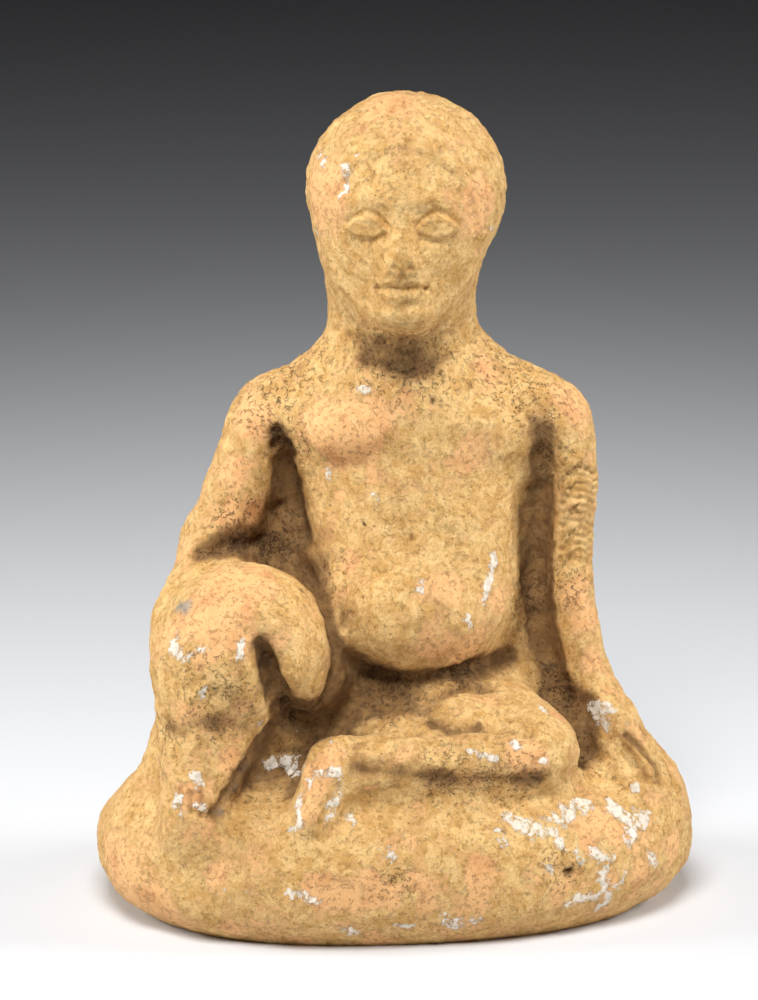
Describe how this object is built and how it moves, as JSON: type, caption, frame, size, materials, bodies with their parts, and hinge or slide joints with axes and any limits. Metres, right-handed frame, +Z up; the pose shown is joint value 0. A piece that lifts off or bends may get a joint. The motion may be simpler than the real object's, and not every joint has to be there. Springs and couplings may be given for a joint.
{
  "type": "terracotta seated boy figurine",
  "caption": "Small moulded terracotta of a boy seated on a low mound, one knee raised, the other leg folded, leaning on one hand.",
  "frame": {"origin": "middle of the flat underside of the mound", "axes": "+Z up towards the crown of the head, -Y the way the boy faces, +X towards his left hand"},
  "size_m": [0.0884, 0.0588, 0.1185],
  "materials": {
    "terracotta": "unglazed orange-tan fired clay, matt, with a yellowish earth crust, dark dirt in the creases and remains of white slip"
  },
  "bodies": {
    "root": {"seated_boy": "terracotta"}
  },
  "joints": []
}
